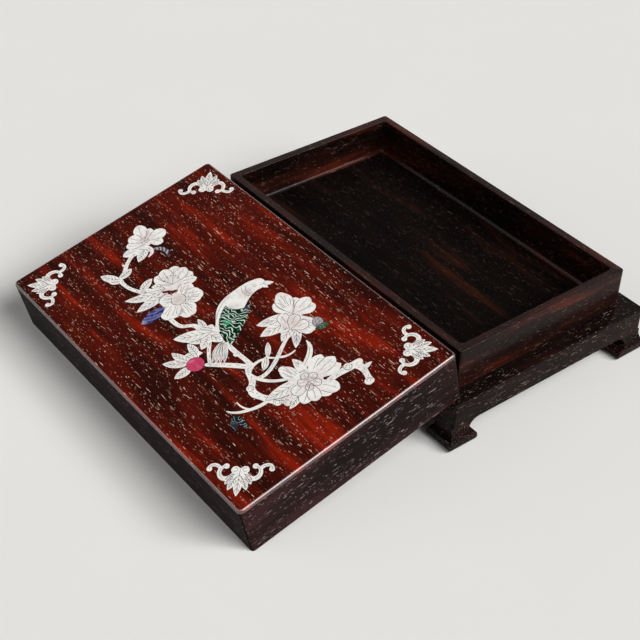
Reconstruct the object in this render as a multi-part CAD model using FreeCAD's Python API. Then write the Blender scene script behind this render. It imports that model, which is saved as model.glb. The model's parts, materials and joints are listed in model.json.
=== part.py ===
import FreeCAD, Part
import functools
import math
import os

# Lidded rosewood box for an ink stick and stone: a tray on a footed stand, and a lid with shell inlay
# The lid is off: its front edge is on the table and its underside leans on the edge of the stand
# X runs along the box, -Y is the side where the lid leans, +Z is up, all sizes are in millimetres

# Tray
tray_length = 227.0
tray_width = 135.0
tray_wall = 5.5
tray_rise = 27.5
tray_corner = 2.0
rim_ease = 0.7
cove_radius = 2.5
inner_corner = 3.0

# Tray floor
floor_above_ledge = 3.0
floor_thickness = 6.0
floor_gap = 0.15
tongue_thickness = 3.0
tongue_depth = 2.5

# Lid
lid_fit_gap = 0.5
lid_wall = 7.0
lid_corner = 2.0
lid_rim_gap = 0.5
panel_edge = 2.8
panel_overhang = 0.3
panel_corner = 3.0
panel_top_round = 1.9
panel_low_round = 0.5
field_depth = 5.7
field_gap = 0.15
quirk_depth = 0.6
quirk_height = 0.6
quirk_ease = 0.4

# Stand
ledge_reveal = 4.0
rail_height = 16.5
shelf_extra = 3.0
wall_seat_depth = 9.0
stand_corner = 2.0
ledge_ease = 0.9

# Feet
foot_height = 16.5
foot_neck = 13.2
foot_toe = 18.4
foot_arch = 21.0
arch_above_toe = 3.4
flare_start = 2.0
flare_bow = 0.45
toe_height = 8.2
toe_flare = 2.6
toe_shoulder = 0.4
toe_set_back = 1.8
toe_bow_out = 1.3
toe_bow_in = 1.9
neck_bow = 1.5

# Hidden keys across the mitres, and the dowels of the feet
key_gap = 0.1
key_across_share = 0.74
key_along_share = 0.26
key_end_margin = 3.5
stand_key_height = 3.0
stand_key_below_ledge = 2.5
dowel_radius = 2.5
dowel_length = 15.0
dowel_inset = 6.5
dowel_gap = 0.1

# How the lid leans
lean_gap = 3.0
rest_gap = 0.02

# Shell inlay
shell_thickness = 1.2
pocket_depth = 1.0
glue_gap = 0.1
spray_margin = 16.0
spray_centre_x = 0.3
ornament_size = 26.0
ornament_margin = 10.0

# How a petal is drawn, as shares of its length and width
petal_middle_share = 0.58
petal_notch_share = 0.94
petal_crest_share = 1.03
petal_foot_share = 0.16
petal_spread = 112.0

# Worked out from the sizes above
lid_length = tray_length + 2 * (lid_fit_gap + lid_wall)
lid_width = tray_width + 2 * (lid_fit_gap + lid_wall)
lid_rail_height = tray_rise + lid_rim_gap + field_depth
lid_height = lid_rail_height + panel_edge
panel_length = lid_length + 2 * panel_overhang
panel_width = lid_width + 2 * panel_overhang
stand_length = lid_length + 2 * ledge_reveal
stand_width = lid_width + 2 * ledge_reveal
ledge_z = foot_height + rail_height
rim_z = ledge_z + tray_rise
floor_z = ledge_z + floor_above_ledge
wall_foot_z = ledge_z - wall_seat_depth
ledge_width = (stand_length - tray_length) / 2
rail_width = ledge_width + tray_wall + shelf_extra
wall_foot = tray_wall + cove_radius

# The lid's underside lies on the rounded edge of the stand, and its back edge stays clear of the tray
lean_angle = 0.0
for step in range(20):
    edge_run = lid_width * math.cos(lean_angle) + lean_gap - ledge_width + ledge_ease
    edge_rise = (ledge_z - ledge_ease) * math.cos(lean_angle) + ledge_ease + rest_gap
    lean_angle = math.asin(edge_rise / edge_run)
lid_edge_y = -tray_width / 2 - lean_gap - lid_width * math.cos(lean_angle)
lid_reach = (panel_overhang - panel_top_round) * math.cos(lean_angle)
lid_reach += (lid_height - panel_top_round) * math.sin(lean_angle) + panel_top_round
part_front = lid_edge_y - lid_reach
part_back = stand_width / 2 + toe_flare
part_middle = (part_front + part_back) / 2

# How far a cutter stands past the face that it opens
past = 5.0

# The four corners in turn, and the sides of X and Y that each lies on
corner_names = ["front_left", "front_right", "back_right", "back_left"]
signs = [(-1, -1), (1, -1), (1, 1), (-1, 1)]

# The spray is drawn on a sheet this long, in millimetres from the middle of the lid
drawing_length = 211.2
spray_scale = (panel_length - 2 * spray_margin) / drawing_length
ornament_drawing = 25.5


def vec(x, y, z=0.0):
    return FreeCAD.Vector(x, y, z)


def box(low, high):
    size = [h - l for l, h in zip(low, high)]
    return Part.makeBox(size[0], size[1], size[2], vec(*low))


def slab(length, width, z_low, z_high, corner=0.0):
    """Block centred on the Z axis, with its upright edges rounded."""
    block = box((-length / 2, -width / 2, z_low), (length / 2, width / 2, z_high))
    if corner:
        upright = [edge for edge in block.Edges if edge.BoundBox.ZLength > (z_high - z_low) / 2]
        block = block.makeFillet(corner, upright)
    return block


def level_edges(shape, z):
    """Edges of a shape that lie flat at one height."""
    hair = 1e-4
    return [e for e in shape.Edges if abs(e.BoundBox.ZMin - z) < hair and abs(e.BoundBox.ZMax - z) < hair]


def prism(points, z_low, z_high):
    corners = [vec(x, y, z_low) for x, y in points]
    face = Part.Face(Part.makePolygon(corners + corners[:1]))
    return face.extrude(vec(0, 0, z_high - z_low))


# Frames of four mitred boards

def mitre_wedges(length, width, z_low, z_high):
    """Four prisms that part a rectangular frame along its mitres."""
    half_x = length / 2 + past
    half_y = width / 2 + past
    ridge = half_x - half_y
    corners = {
        "front": [(-half_x, -half_y), (half_x, -half_y), (ridge, 0), (-ridge, 0)],
        "back": [(half_x, half_y), (-half_x, half_y), (-ridge, 0), (ridge, 0)],
        "left": [(-half_x, half_y), (-half_x, -half_y), (-ridge, 0)],
        "right": [(half_x, -half_y), (half_x, half_y), (ridge, 0)],
    }
    return {side: prism(points, z_low - past, z_high + past) for side, points in corners.items()}


def corner_keys(length, width, board, z_low, z_high, grow=0.0):
    """One flat key across each mitre of a frame of boards this thick."""
    across = key_across_share * board
    along = key_along_share * board
    inset = board / 2
    keys = []
    for sx, sy in signs:
        key = box(
            (-across / 2 - grow, -along / 2 - grow, z_low - grow),
            (across / 2 + grow, along / 2 + grow, z_high + grow),
        )
        key.rotate(vec(0, 0), vec(0, 0, 1), -45 * sx * sy)
        key.translate(vec(sx * (length / 2 - inset), sy * (width / 2 - inset)))
        keys.append(key)
    return keys


def part_frame(ring, length, width, z_low, z_high):
    wedges = mitre_wedges(length, width, z_low, z_high)
    return {side: ring.common(wedge) for side, wedge in wedges.items()}


# Tray

def tray_keys(grow=0.0):
    return corner_keys(tray_length, tray_width, tray_wall, wall_foot_z + key_end_margin,
                       rim_z - key_end_margin, grow)


def tray_walls():
    """Walls with a cove at the floor, a groove for the floor's tongue and an eased rim."""
    outside = slab(tray_length, tray_width, wall_foot_z, rim_z, tray_corner)
    well = slab(tray_length - 2 * tray_wall, tray_width - 2 * tray_wall, floor_z, rim_z + past, inner_corner)
    well = well.makeFillet(cove_radius, level_edges(well, floor_z))
    foot_length = tray_length - 2 * wall_foot
    foot_width = tray_width - 2 * wall_foot
    seat = slab(foot_length, foot_width, wall_foot_z - past, floor_z + past)
    reach = 2 * (tongue_depth + floor_gap)
    groove_z = floor_z - floor_thickness / 2
    groove_half = tongue_thickness / 2 + floor_gap
    groove = slab(foot_length + reach, foot_width + reach, groove_z - groove_half, groove_z + groove_half)
    ring = outside.cut([well, seat, groove])
    ring = ring.makeFillet(rim_ease, level_edges(ring, rim_z))
    ring = ring.cut(tray_keys(key_gap))
    return part_frame(ring, tray_length, tray_width, wall_foot_z, rim_z)


def tray_floor():
    board_length = tray_length - 2 * (wall_foot + floor_gap)
    board_width = tray_width - 2 * (wall_foot + floor_gap)
    reach = 2 * tongue_depth
    board = slab(board_length, board_width, floor_z - floor_thickness, floor_z)
    middle_z = floor_z - floor_thickness / 2
    half = tongue_thickness / 2
    tongue = slab(board_length + reach, board_width + reach, middle_z - half, middle_z + half)
    return board.fuse(tongue).removeSplitter()


# Stand

def stand_keys(grow=0.0):
    top = ledge_z - stand_key_below_ledge
    return corner_keys(stand_length, stand_width, ledge_width, top - stand_key_height, top, grow)


def foot_dowels(grow=0.0):
    dowels = []
    low = foot_height - dowel_length / 2
    for sx, sy in signs:
        x = sx * (stand_length / 2 - dowel_inset)
        y = sy * (stand_width / 2 - dowel_inset)
        dowels.append(Part.makeCylinder(dowel_radius + grow, dowel_length + 2 * grow, vec(x, y, low - grow)))
    return dowels


def stand_rails():
    """Rails with a flat ledge outside and a shelf inside that carries the walls of the tray."""
    outside = slab(stand_length, stand_width, foot_height, ledge_z, stand_corner)
    outside = outside.makeFillet(ledge_ease, level_edges(outside, ledge_z))
    reach = 2 * rail_width
    opening = slab(stand_length - reach, stand_width - reach, foot_height - past, ledge_z + past)
    seat = slab(tray_length, tray_width, wall_foot_z, ledge_z + past, tray_corner)
    ring = outside.cut([opening, seat] + stand_keys(key_gap) + foot_dowels(dowel_gap))
    return part_frame(ring, stand_length, stand_width, foot_height, ledge_z)


def bowed(start, end, bow):
    """Arc on the XZ plane whose middle stands off its chord by the bow, on the right of its way."""
    way = (end - start).normalize()
    middle = (start + end) * 0.5 + vec(way.z, 0, -way.x) * bow
    return Part.Arc(start, middle, end).toShape()


def foot_profile():
    """Outline of a foot across one of its faces: X is from the face inwards, Z is height."""
    arch_run = foot_arch - foot_neck
    arch_rise = foot_height - toe_height - arch_above_toe
    arch_bow = math.hypot(arch_run, arch_rise) * math.tan(math.atan(arch_rise / arch_run) / 2) / 2
    top_out = vec(0, 0, foot_height)
    flare = vec(0, 0, foot_height - flare_start)
    toe_top_out = vec(toe_shoulder - toe_flare, 0, toe_height)
    toe_foot_out = vec(toe_set_back - toe_flare, 0, 0)
    toe_foot_in = vec(foot_toe - toe_set_back, 0, 0)
    toe_top_in = vec(foot_toe - toe_set_back, 0, toe_height)
    neck = vec(foot_neck, 0, foot_height - arch_rise)
    arch = vec(foot_arch, 0, foot_height)
    edges = [
        Part.LineSegment(top_out, flare).toShape(),
        bowed(flare, toe_top_out, -flare_bow),
        bowed(toe_top_out, toe_foot_out, toe_bow_out),
        Part.LineSegment(toe_foot_out, toe_foot_in).toShape(),
        bowed(toe_foot_in, toe_top_in, toe_bow_in),
        bowed(toe_top_in, neck, -neck_bow),
        bowed(neck, arch, -arch_bow),
        Part.LineSegment(arch, top_out).toShape(),
    ]
    return Part.Face(Part.Wire(edges))


def corner_foot():
    """Foot for the corner at the origin, its faces on X = 0 and Y = 0 and its body on the plus sides."""
    reach = foot_arch + toe_flare
    across_x = foot_profile()
    across_x.translate(vec(0, -toe_flare, 0))
    across_x = across_x.extrude(vec(0, reach, 0))
    across_y = foot_profile()
    across_y.rotate(vec(0, 0, 0), vec(0, 0, 1), 90)
    across_y.translate(vec(-toe_flare, 0, 0))
    across_y = across_y.extrude(vec(reach, 0, 0))
    return across_x.common(across_y)


def feet():
    """The four feet, turned so that each has its toes at its own corner."""
    holes = foot_dowels(dowel_gap)
    placed = {}
    for turn, (name, (sx, sy)) in enumerate(zip(corner_names, signs)):
        foot = corner_foot()
        foot.rotate(vec(0, 0, 0), vec(0, 0, 1), 90 * turn)
        foot.translate(vec(sx * stand_length / 2, sy * stand_width / 2, 0))
        placed[name] = foot.cut(holes)
    return placed


# Lid

def lid_keys(grow=0.0):
    top = lid_rail_height - key_end_margin
    return corner_keys(lid_length, lid_width, lid_wall, key_end_margin, top, grow)


def lid_rails():
    """Side boards, each set back along its top so that a fine quirk shows under the panel."""
    quirk_z = lid_rail_height - quirk_height
    lower = slab(lid_length, lid_width, 0, quirk_z, lid_corner)
    lower = lower.makeFillet(quirk_ease, level_edges(lower, quirk_z))
    upper = slab(lid_length - 2 * quirk_depth, lid_width - 2 * quirk_depth, 0, lid_rail_height, lid_corner)
    inside = slab(lid_length - 2 * lid_wall, lid_width - 2 * lid_wall, -past, lid_rail_height + past)
    ring = lower.fuse(upper).cut([inside] + lid_keys(key_gap)).removeSplitter()
    return part_frame(ring, lid_length, lid_width, 0, lid_rail_height)


def lid_panel(cutters):
    """Top board with rounded edges, a raised field below that locates it, and pockets for the shell."""
    board = slab(panel_length, panel_width, lid_rail_height, lid_height, panel_corner)
    board = board.makeFillet(panel_top_round, level_edges(board, lid_height))
    board = board.makeFillet(panel_low_round, level_edges(board, lid_rail_height))
    inner = 2 * (lid_wall + field_gap)
    field = slab(lid_length - inner, lid_width - inner, lid_rail_height - field_depth, lid_rail_height)
    return board.fuse(field).removeSplitter().cut(cutters)


# Shapes that the inlay is sawn from, each grown outwards by the last value

def flat_face(curves):
    """Face on the level plane, its front upwards, inside a ring of curves."""
    wire = Part.Wire([curve.toShape() for curve in curves])
    return Part.Face(Part.Plane(vec(0, 0), vec(0, 0, 1)), wire)


def leaf(x0, y0, x1, y1, width, bend=0.0, grow=0.0):
    """Leaf with two pointed ends; bend moves its middle to the left of its way."""
    axis = vec(x1 - x0, y1 - y0).normalize()
    side = vec(-axis.y, axis.x)
    start = vec(x0, y0) - axis * grow
    end = vec(x1, y1) + axis * grow
    middle = (start + end) * 0.5 + side * bend
    half = width / 2 + grow
    low = Part.Arc(start, middle - side * half, end)
    high = Part.Arc(end, middle + side * half, start)
    return flat_face([low, high])


def ribbon(*stations, grow=0.0):
    """Band with round ends through stations of x, y and half width."""
    centres = [vec(x, y) for x, y, half in stations]
    halves = [half + grow for x, y, half in stations]
    last = len(centres) - 1
    ways = [(centres[min(i + 1, last)] - centres[max(i - 1, 0)]).normalize() for i in range(last + 1)]
    sides = [vec(-way.y, way.x) for way in ways]
    left = [c + s * h for c, s, h in zip(centres, sides, halves)]
    right = [c - s * h for c, s, h in zip(centres, sides, halves)]
    left_curve = Part.BSplineCurve()
    left_curve.interpolate(left)
    right_curve = Part.BSplineCurve()
    right_curve.interpolate(right[::-1])
    end_cap = Part.Arc(left[-1], centres[-1] + ways[-1] * halves[-1], right[-1])
    start_cap = Part.Arc(right[0], centres[0] - ways[0] * halves[0], left[0])
    return flat_face([left_curve, end_cap, right_curve, start_cap])


def petal(lobes, x0, y0, x1, y1, width, grow=0.0):
    """Petal that opens from a narrow foot to a scalloped end."""
    axis = vec(x1 - x0, y1 - y0)
    length = axis.Length
    axis.normalize()
    side = vec(-axis.y, axis.x)
    middle = vec(x0, y0) + axis * (petal_middle_share * length)
    long_half = (1 - petal_middle_share) * length + grow
    cross_half = width / 2 + grow
    spread = math.radians(petal_spread)

    def at(angle, reach):
        along = axis * (long_half * reach * math.cos(angle))
        return middle + along + side * (cross_half * reach * math.sin(angle))

    steps = [-spread + 2 * spread * k / lobes for k in range(lobes + 1)]
    foot_half = petal_foot_share * width + grow
    foot = vec(x0, y0) - axis * grow
    curves = []
    for a, b in zip(steps, steps[1:]):
        curves.append(Part.Arc(at(a, petal_notch_share), at((a + b) / 2, petal_crest_share), at(b, petal_notch_share)))
    low = foot - side * foot_half
    high = foot + side * foot_half
    curves.append(Part.LineSegment(at(steps[-1], petal_notch_share), high))
    curves.append(Part.LineSegment(high, low))
    curves.append(Part.LineSegment(low, at(steps[0], petal_notch_share)))
    return flat_face(curves)


def disc(x, y, radius, grow=0.0):
    return flat_face([Part.Circle(vec(x, y), vec(0, 0, 1), radius + grow)])


def patch(*points, grow=0.0):
    """Closed shape of arcs, grown from its middle: each corner, then the middle of its arc."""
    middle = vec(0, 0)
    for corner in points[::2]:
        middle += vec(*corner) * (1 / len(points[::2]))
    ring = []
    for point in points + points[:1]:
        way = vec(*point) - middle
        ring.append(middle + way * (1 + grow / way.Length))
    return flat_face([Part.Arc(*arc) for arc in zip(ring[::2], ring[1::2], ring[2::2])])


shapes = {"leaf": leaf, "ribbon": ribbon, "disc": disc, "patch": patch}
for lobes in (2, 3, 4):
    shapes["petal_" + str(lobes)] = functools.partial(petal, lobes)

# The spray: a long-tailed bird on a flowering branch, on the lid's own X and Y
# A piece that comes earlier lies whole, and the ones after it are cut back to it
bird = {
    "inlay_bird_wing": [
        ("patch", (4.4, 18.0), (13.9, 7.0), (22.6, -9.6), (8.4, -7.5), (-5.0, 6.2), (2.6, 9.4)),
    ],
    "inlay_bird_body": [
        ("ribbon", (-5.4, 30.8, 4.3), (-6.4, 26.0, 4.8), (-5.6, 19.0, 5.9), (-3.2, 11.0, 7.6),
         (1.0, 3.0, 7.0), (5.6, -4.0, 4.0), (7.6, -8.4, 2.0)),
        ("leaf", -6.0, 31.0, 0.4, 38.2, 3.4, -0.5),
        ("leaf", -6.0, 30.2, 1.6, 33.2, 3.2, 0.4),
    ],
    "inlay_bird_tail": [
        ("leaf", 17.0, -10.6, 31.2, -20.6, 3.2, 0.7),
        ("leaf", 17.0, -10.8, 30.0, -23.2, 3.2, 0.5),
        ("leaf", 17.0, -11.0, 28.2, -25.0, 3.2, 0.2),
        ("leaf", 17.0, -11.2, 25.8, -25.6, 3.2, -0.3),
        ("leaf", 16.8, -11.4, 23.6, -23.8, 2.8, -0.6),
    ],
}

blossoms = {
    "inlay_blossom_round": [
        ("petal_3", -31.0, -9.5, -36.6, 2.2, 10.5),
        ("petal_3", -31.0, -9.5, -24.0, 3.0, 12.0),
        ("petal_4", -31.0, -10.5, -13.6, -12.6, 12.5),
        ("petal_3", -31.0, -10.5, -22.6, -25.6, 13.5),
        ("petal_3", -31.0, -10.5, -38.0, -19.6, 10.0),
        ("disc", -31.4, -9.8, 5.6),
    ],
    "inlay_blossom_fan": [
        ("petal_2", -44.0, -6.0, -37.4, 8.2, 6.2),
        ("petal_2", -44.0, -6.0, -43.4, 9.2, 8.0),
        ("petal_2", -44.0, -6.0, -50.4, 8.4, 8.4),
        ("petal_2", -44.0, -6.0, -56.4, 4.2, 8.4),
        ("petal_2", -44.0, -6.0, -59.2, -3.4, 8.4),
        ("petal_2", -44.0, -7.0, -57.6, -10.2, 7.4),
        ("disc", -45.0, -5.0, 6.5),
    ],
    "inlay_blossom_high": [
        ("petal_3", 30.0, 30.0, 10.4, 34.4, 10.5),
        ("petal_2", 30.0, 29.0, 14.6, 26.8, 6.6),
        ("petal_2", 30.0, 30.0, 26.4, 45.6, 8.4),
        ("petal_2", 30.5, 30.0, 33.6, 44.6, 8.0),
        ("petal_4", 31.0, 29.0, 49.4, 30.4, 12.5),
        ("petal_2", 31.0, 30.0, 20.0, 39.4, 8.0),
        ("disc", 33.0, 27.0, 6.2),
    ],
    "inlay_blossom_large": [
        ("petal_2", 76.0, 6.0, 66.4, 22.6, 8.6),
        ("petal_2", 77.0, 7.0, 73.4, 27.2, 8.6),
        ("petal_2", 77.0, 7.0, 80.2, 26.4, 7.6),
        ("petal_2", 79.0, 6.0, 94.2, 14.2, 9.0),
        ("petal_2", 79.0, 6.0, 94.0, 7.8, 7.6),
        ("petal_2", 79.0, 5.0, 91.6, -0.8, 7.8),
        ("petal_2", 79.0, 4.0, 88.2, -7.2, 7.8),
        ("petal_2", 77.0, 4.0, 79.0, -7.4, 8.0),
        ("petal_3", 75.0, 3.0, 57.6, -0.6, 8.2),
        ("disc", 77.0, 5.0, 8.4),
    ],
    "inlay_blossom_small": [
        ("petal_2", -89.0, 4.0, -88.0, 18.6, 8.8),
        ("petal_2", -89.0, 4.0, -80.0, 11.6, 6.4),
        ("petal_2", -89.0, 3.0, -96.8, 12.4, 6.6),
        ("petal_2", -89.0, 3.0, -105.2, 8.2, 8.0),
        ("petal_2", -88.0, 3.0, -99.6, -2.6, 8.0),
        ("petal_2", -87.0, 2.0, -94.0, -8.2, 6.6),
        ("petal_2", -86.0, 0.0, -87.8, -14.6, 5.8),
        ("disc", -89.5, 2.5, 5.2),
    ],
}

coloured = {
    "inlay_fruit": [("disc", 19.8, -33.0, 5.3)],
    "inlay_leaf_blue": [("leaf", -31.6, -20.0, -30.0, -38.0, 7.8, 0.3)],
    "inlay_leaf_grey": [
        ("ribbon", (-78.6, 4.0, 0.9), (-75.4, 6.9, 1.4), (-71.2, 7.9, 1.3), (-66.8, 6.2, 0.4)),
    ],
    "inlay_bud_green": [("leaf", 50.4, 41.0, 48.8, 32.0, 4.2, 0.4)],
    "inlay_bud_pale": [("leaf", 41.4, 37.6, 49.4, 34.0, 6.4, 0.6)],
    "inlay_leaf_dark": [
        ("leaf", 66.4, -39.4, 80.0, -39.0, 3.6, 0.3),
        ("leaf", 67.0, -39.8, 76.6, -45.0, 4.2, -0.4),
    ],
}

leaves = {
    "inlay_calyx_high": [
        ("leaf", 29.0, 30.0, 21.6, 9.6, 7.6, 0.8),
        ("leaf", 34.0, 28.0, 30.2, 6.0, 8.4, -0.4),
        ("leaf", 34.0, 29.0, 42.0, 12.4, 7.6, 0.6),
        ("leaf", 34.0, 28.0, 52.2, 15.0, 6.0, 1.0),
        ("disc", 35.0, 20.0, 4.4),
    ],
    "inlay_leaves_round": [
        ("leaf", -40.0, -12.0, -40.4, -34.6, 6.8, -0.4),
        ("leaf", -44.0, -12.0, -53.8, -34.8, 6.4, 1.6),
        ("leaf", -36.0, -15.0, -56.4, -24.6, 7.6, -0.6),
        ("leaf", -38.0, -16.0, -50.6, -26.8, 7.0, 0.8),
        ("leaf", -41.0, -8.0, -51.6, -16.4, 7.2, -0.8),
        ("leaf", -52.4, -24.0, -57.6, -12.0, 5.2, 0.6),
    ],
    "inlay_leaves_small": [
        ("ribbon", (-86.0, -2.0, 1.6), (-82.6, 1.2, 1.7), (-79.6, 1.6, 1.6), (-75.6, -2.6, 0.5)),
        ("leaf", -86.4, 2.6, -76.4, -10.0, 6.6, 0.4),
        ("leaf", -86.0, -1.0, -84.0, -11.0, 4.4, 0.3),
    ],
    "inlay_leaves_perch": [
        ("leaf", 5.0, -15.0, -8.4, -11.8, 4.4, -0.8),
        ("leaf", 6.0, -11.0, -5.6, -31.2, 8.6, 0.8),
        ("leaf", 10.0, -14.0, -1.0, -27.4, 7.0, 0.6),
        ("leaf", -2.6, -15.0, 17.4, -11.0, 8.2, -0.6),
        ("leaf", 5.0, -12.0, 13.0, -24.0, 6.6, 0.4),
        ("leaf", 8.0, -16.0, 1.4, -8.2, 7.0, 0.3),
        ("disc", 6.4, -15.4, 4.6),
    ],
    "inlay_leaves_fruit": [
        ("leaf", 17.0, -29.0, 3.6, -27.4, 5.2, -0.6),
        ("leaf", 17.0, -33.0, 2.6, -38.0, 5.2, 0.9),
        ("leaf", 17.2, -33.8, 5.6, -46.6, 5.8, 0.6),
        ("leaf", 10.8, -36.2, 15.6, -24.8, 5.0, 0.7),
    ],
    "inlay_leaf_low": [("leaf", 19.4, -35.0, 20.0, -47.8, 5.8, 0.5)],
    "inlay_leaf_side": [("leaf", 75.0, 4.0, 57.4, 8.4, 6.0, -1.8)],
    "inlay_leaves_large": [
        ("leaf", 73.0, 4.0, 70.6, -20.4, 8.6, 0.8),
        ("leaf", 79.0, 0.0, 74.4, -16.4, 5.6, 0.8),
        ("leaf", 78.0, -2.0, 85.2, -14.6, 4.6, 1.2),
        ("disc", 72.6, 0.0, 5.0),
    ],
    "inlay_leaf_blade": [
        ("ribbon", (52.4, 22.8, 0.35), (57.4, 21.4, 1.3), (62.6, 16.6, 1.7), (66.4, 10.4, 1.8),
         (68.4, 3.0, 1.5)),
    ],
    "inlay_bud_small": [
        ("leaf", 36.8, 6.4, 46.4, -1.0, 3.4, 0.4),
        ("leaf", 44.8, -0.6, 52.2, -8.0, 4.2, 0.3),
        ("ribbon", (45.6, -1.6, 0.7), (47.8, 0.6, 0.6), (49.8, 2.4, 0.4)),
        ("ribbon", (46.6, -1.6, 0.8), (44.8, -5.6, 0.8), (45.0, -10.0, 1.0), (47.0, -14.0, 1.2)),
    ],
    "inlay_bud_far": [
        ("leaf", -71.0, -26.0, -83.6, -33.6, 5.8, 0.7),
        ("leaf", -72.6, -27.0, -74.6, -16.2, 5.2, -0.3),
        ("leaf", -70.0, -27.0, -76.6, -32.4, 4.6, 0.5),
    ],
}

branches = {
    "inlay_branch_gnarled": [
        ("ribbon", (43.6, -10.8, 1.9), (46.0, -14.6, 1.5), (50.0, -16.0, 1.6), (54.6, -17.6, 1.9),
         (58.0, -20.8, 2.1), (62.6, -22.0, 2.4), (67.4, -20.4, 2.0), (72.6, -18.0, 2.4), (76.8, -15.0, 1.9),
         (80.0, -11.0, 2.0)),
        ("disc", 57.6, -21.4, 2.2),
        ("disc", 76.6, -16.4, 2.4),
        ("disc", 81.0, -12.4, 2.4),
        ("ribbon", (50.0, -15.4, 1.2), (56.4, -13.4, 1.1), (61.6, -9.8, 1.0), (65.4, -5.4, 0.9),
         (67.6, -1.0, 0.9)),
        ("ribbon", (71.6, -18.0, 0.9), (71.6, -24.6, 1.1), (69.6, -31.0, 0.9), (66.6, -36.4, 0.8),
         (61.4, -40.4, 0.3)),
        ("ribbon", (69.8, -30.2, 0.6), (66.0, -32.2, 0.55), (60.4, -32.6, 0.3)),
    ],
    "inlay_branch_tip": [
        ("ribbon", (85.0, 14.0, 1.9), (85.0, 21.0, 1.9), (85.8, 28.0, 2.4), (86.2, 34.0, 2.1)),
        ("ribbon", (86.2, 30.0, 2.4), (91.0, 32.2, 2.3), (96.6, 31.0, 1.7), (101.4, 29.6, 2.2)),
        ("disc", 101.4, 28.4, 2.4),
        ("disc", 84.8, 27.0, 2.6),
        ("leaf", 92.8, 31.0, 91.6, 38.8, 2.8, 0.4),
    ],
    "inlay_branch_low": [
        ("ribbon", (25.0, -28.6, 1.2), (30.4, -23.4, 1.6), (37.0, -17.8, 1.7), (43.6, -12.6, 1.7)),
        ("ribbon", (12.0, -17.4, 1.2), (19.0, -22.8, 1.1), (26.0, -27.0, 1.0)),
    ],
    "inlay_branch_high": [
        ("ribbon", (20.6, -10.6, 1.4), (30.0, -11.0, 1.5), (36.6, -10.6, 1.4), (42.4, -10.7, 1.6)),
        ("disc", 31.0, -12.0, 1.6),
    ],
    "inlay_branch_round": [
        ("ribbon", (-24.0, -22.6, 1.4), (-14.6, -23.0, 1.4), (-10.6, -21.6, 1.3), (-7.4, -17.8, 1.3),
         (0.0, -16.6, 1.6)),
    ],
    "inlay_stem_small": [
        ("ribbon", (-84.6, -7.0, 1.1), (-81.4, -14.4, 1.2), (-77.4, -19.0, 1.3), (-75.4, -20.8, 1.4)),
        ("leaf", -78.4, -17.6, -82.2, -18.6, 1.6, 0.1),
    ],
    "inlay_branch_far": [
        ("ribbon", (-70.6, -26.8, 1.5), (-65.6, -27.2, 1.2), (-58.6, -25.8, 1.2), (-52.0, -22.6, 1.4)),
    ],
    "inlay_stem_high": [
        ("ribbon", (42.6, 16.0, 1.0), (46.4, 9.4, 1.1), (50.4, 3.2, 1.2), (53.6, -2.8, 1.2),
         (55.4, -8.8, 1.2), (55.0, -13.4, 1.4)),
        ("ribbon", (50.0, 3.4, 0.8), (52.8, 7.2, 0.7), (53.4, 13.6, 0.35)),
    ],
}

# A corner ornament: leaves that point to the corner of the lid and two scrolls along its edges
# The first value runs along one edge from the corner, the second along the other
ornament_half = [
    ("leaf", 9.8, 8.6, 6.2, -0.8, 3.6, 0.3),
    ("leaf", 11.6, 8.0, 10.2, 0.4, 3.2, 0.3),
    ("ribbon", (12.4, 8.0, 1.3), (12.0, 4.4, 1.4), (14.0, 1.9, 1.35), (17.2, 2.0, 1.2), (19.6, 4.4, 1.0),
     (19.4, 7.4, 0.9)),
    ("disc", 19.0, 8.0, 1.6),
    ("ribbon", (18.6, 3.2, 0.8), (21.6, 5.0, 1.0), (24.4, 3.8, 1.0), (25.0, 1.2, 0.9)),
    ("disc", 24.0, 0.4, 1.5),
    ("disc", 13.6, 10.0, 2.3),
]
ornament_middle = [
    ("leaf", 12.5, 12.5, 0.0, 0.0, 5.0, 0.0),
    ("disc", 10.2, 10.2, 3.4),
]


def sized(values, scale):
    """Values of a drawn shape, nested or not, at a scale."""
    return [sized(value, scale) if isinstance(value, tuple) else value * scale for value in values]


def plate(drawing, scale, grow):
    """One flat outline from all shapes of a drawing."""
    faces = []
    for kind, *values in drawing:
        faces.append(shapes[kind](*sized(values, scale), grow=grow))
    joined = faces[0].fuse(faces[1:]) if len(faces) > 1 else faces[0]
    return joined.removeSplitter()


def near(face, others):
    """Those of the other faces whose boxes meet the box of this face."""
    return [other for other in others if other.BoundBox.intersect(face.BoundBox)]


def spray():
    """Each piece of the spray, cut back to the ones before it, and the cutter of its pocket."""
    pieces = {}
    cutters = []
    grown = []
    for name, drawing in {**bird, **coloured, **blossoms, **leaves, **branches}.items():
        outline = plate(drawing, spray_scale, 0.0)
        earlier = near(outline, grown)
        if earlier:
            outline = outline.cut(earlier)
        grown.append(plate(drawing, spray_scale, glue_gap))
        pieces[name] = [face.extrude(vec(0, 0, shell_thickness)) for face in outline.Faces]
        cutters += [face.extrude(vec(0, 0, pocket_depth + past)) for face in grown[-1].Faces]
    for solid in cutters + [solid for solids in pieces.values() for solid in solids]:
        solid.translate(vec(spray_centre_x, 0))
    return pieces, cutters


def ornament(height, grow):
    """One corner ornament with its tip at the origin, between the plus X and plus Y edges."""
    scale = ornament_size / ornament_drawing
    half = plate(ornament_half, scale, grow).extrude(vec(0, 0, height))
    middle = plate(ornament_middle, scale, grow).extrude(vec(0, 0, height))
    return half.fuse([half.mirror(vec(0, 0), vec(1, -1)), middle]).removeSplitter()


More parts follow.
